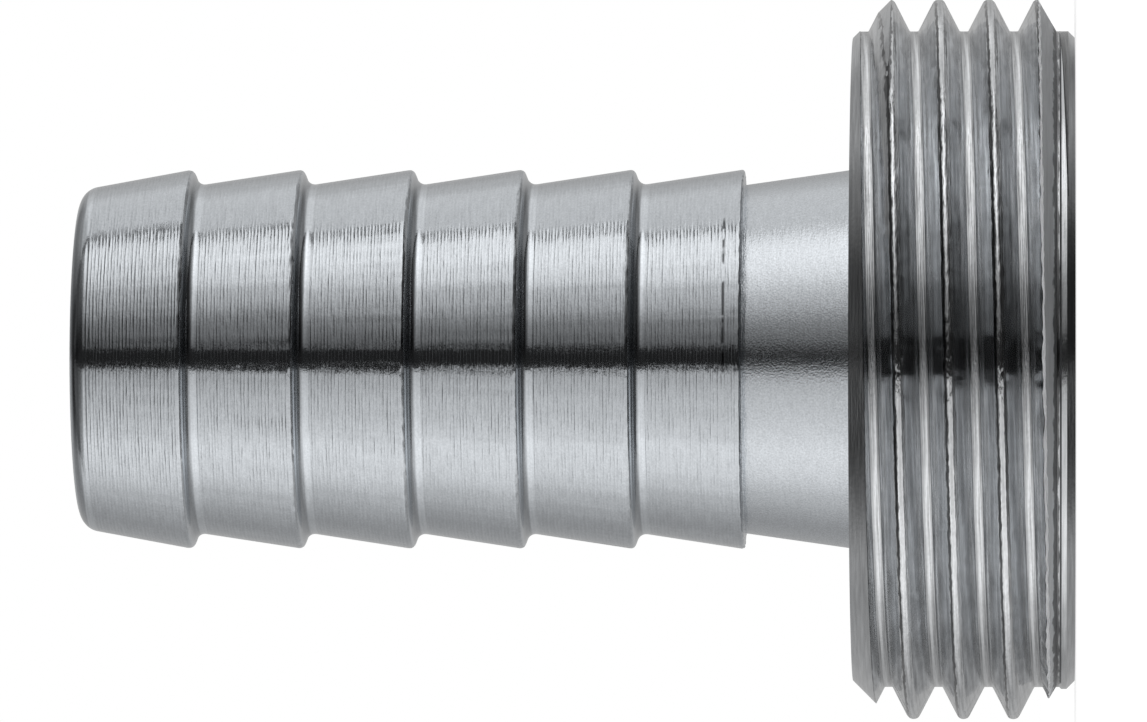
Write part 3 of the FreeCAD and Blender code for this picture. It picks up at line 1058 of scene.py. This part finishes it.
def panel_glow(name, azimuths, levels, rises, drawn_in):
    """A panel's light: levels across it from the first azimuth to the last.

    The rises are (elevation in degrees, share of the level there). drawn_in is how much lower and
    narrower the light gets towards the far end.
    """
    material = bpy.data.materials.new(name)
    material.use_nodes = True
    glow = Shading(material.node_tree)
    glow.tree.nodes.clear()
    place = glow.place()
    side, back, up = glow.axes(place)
    bearing = glow.sum("ARCTAN2", side, glow.sum("MULTIPLY", back, -1.0))
    across = glow.span(bearing, *azimuths, interpolation="LINEAR")
    brightest = max(level for _, level in levels)
    colour = glow.ramp(across, [(share, level / brightest) for share, level in levels])
    slope = glow.sum("DIVIDE", up, glow.length(place))
    if drawn_in:
        far_end = glow.span(across, 0.88, 1.0, 1.0, 1.0 + drawn_in, interpolation="LINEAR")
        slope = glow.sum("MULTIPLY", slope, far_end)
    height = glow.span(slope, -1.0, 1.0, interpolation="LINEAR")
    fade = glow.ramp(
        height, [(0.5 + 0.5 * math.sin(math.radians(rise)), share) for rise, share in rises]
    )
    light = glow.node("ShaderNodeEmission")
    glow.link(colour, light.inputs["Color"])
    glow.link(glow.sum("MULTIPLY", fade, brightest), light.inputs["Strength"])
    output = glow.node("ShaderNodeOutputMaterial")
    glow.link(light.outputs["Emission"], output.inputs["Surface"])
    return material


def curved_panel(name, azimuths, distance, material):
    """A slice of a ball about the fitting's middle, which only reflections see."""
    middle = (0.0, 0.0, 0.0)
    bm = bmesh.new()
    lowest = bm.verts.new((0.0, 0.0, -distance))
    bmesh.ops.spin(
        bm, geom=[lowest], cent=middle, axis=(-1.0, 0.0, 0.0), angle=math.pi, steps=12,
        use_merge=False,
    )
    bmesh.ops.rotate(
        bm, verts=bm.verts, cent=middle, matrix=Matrix.Rotation(azimuths[0], 3, "Z")
    )
    bmesh.ops.spin(
        bm, geom=[*bm.verts, *bm.edges], cent=middle, axis=(0.0, 0.0, 1.0),
        angle=azimuths[1] - azimuths[0], steps=48, use_merge=False,
    )
    mesh = made_mesh(bm, name)
    mesh.materials.append(material)
    panel = put_in_scene(name, mesh)
    panel.location = (0.0, 0.0, cad_high.z / 2)
    panel.visible_camera = False
    panel.visible_diffuse = False
    panel.visible_shadow = False


def hang_panels(studio):
    """Panels all round the fitting, with a dark slit in front where the camera stands.

    Levels are (share of the way across, strength), rises (degrees, share of that strength).
    """
    slit = math.radians(7.4)
    side = math.radians(94)
    right_levels = (
        (0.0, 0.17), (0.13, 0.29), (0.4, 0.8), (0.56, 1.24), (0.7, 1.44), (0.85, 1.38),
        (0.95, 1.32), (1.0, 1.03),
    )
    right_rises = (
        (-50, 0.02), (-32, 0.12), (-14, 0.4), (-7, 0.65), (-2, 1.0), (6, 1.0), (12, 0.87),
        (20, 0.87), (44, 0.07),
    )
    left_levels = ((0.0, 0.8), (0.22, 1.03), (0.39, 1.1), (0.55, 0.94), (0.7, 0.83), (1.0, 0.62))
    left_rises = ((-65, 0.12), (-40, 1.0), (22, 1.0), (52, 0.15))
    rear_right_levels = ((0.0, 0.8), (0.4, 0.8), (0.55, 0.6), (0.75, 0.46), (1.0, 0.45))
    rear_right_rises = (
        (-78, 0.02), (-68, 0.06), (-60, 0.2), (-45, 0.45), (-30, 0.4), (-10, 1.0), (20, 1.0),
        (32, 0.6), (45, 0.52), (60, 0.27), (78, 0.05),
    )
    rear_left_levels = (
        (0.0, 0.45), (0.37, 0.41), (0.55, 0.39), (0.67, 0.44), (0.79, 0.53), (0.91, 0.66),
        (1.0, 0.68),
    )
    rear_left_rises = ((-80, 0.06), (-50, 0.9), (-12, 1.0), (20, 1.0), (50, 0.9), (80, 0.06))
    gap_levels = ((0.0, 0.02), (1.0, 0.02))
    gap_rises = ((-60, 0.9), (60, 0.9))
    for name, azimuths, levels, rises, drawn_in in (
        ("right_panel", (slit, side), right_levels, right_rises, 1.5),
        ("left_panel", (-side, -slit), left_levels, left_rises, 0.0),
        ("rear_right_panel", (side, math.pi), rear_right_levels, rear_right_rises, 0.0),
        ("rear_left_panel", (-math.pi, -side), rear_left_levels, rear_left_rises, 0.0),
        ("front_gap", (-slit, slit), gap_levels, gap_rises, 0.0),
    ):
        glow = panel_glow(name, azimuths, levels, rises, drawn_in)
        curved_panel(name, azimuths, studio.panel_distance, glow)


class VIEW3D_PT_hose_tail(bpy.types.Panel):
    """Sizes, finish and the buttons that build the fitting and its studio"""

    bl_label = "Hose barb tail"
    bl_space_type = "VIEW_3D"
    bl_region_type = "UI"
    bl_category = "Hose Tail"

    def draw(self, context):
        layout = self.layout
        scene = context.scene
        for group in (scene.tail_sizes, scene.thread_sizes, scene.steel_look, scene.studio):
            box = layout.box()
            for name in group.__annotations__:
                box.prop(group, name)
        for operator in (MESH_OT_add_hose_barb_tail, SCENE_OT_add_studio):
            layout.operator(operator.bl_idname)


GROUPS = {
    "tail_sizes": TailSizes,
    "thread_sizes": ThreadSizes,
    "steel_look": SteelLook,
    "studio": Studio,
}
CLASSES = (
    *GROUPS.values(), MESH_OT_add_hose_barb_tail, SCENE_OT_add_studio, VIEW3D_PT_hose_tail,
)


def register():
    for cls in CLASSES:
        bpy.utils.register_class(cls)
    for name, group in GROUPS.items():
        setattr(bpy.types.Scene, name, PointerProperty(type=group))


def unregister():
    for name in GROUPS:
        delattr(bpy.types.Scene, name)
    for cls in reversed(CLASSES):
        bpy.utils.unregister_class(cls)


def main():
    register()
    bpy.ops.scene.add_studio()
    bpy.ops.mesh.add_hose_barb_tail()


if __name__ == "__main__":
    main()
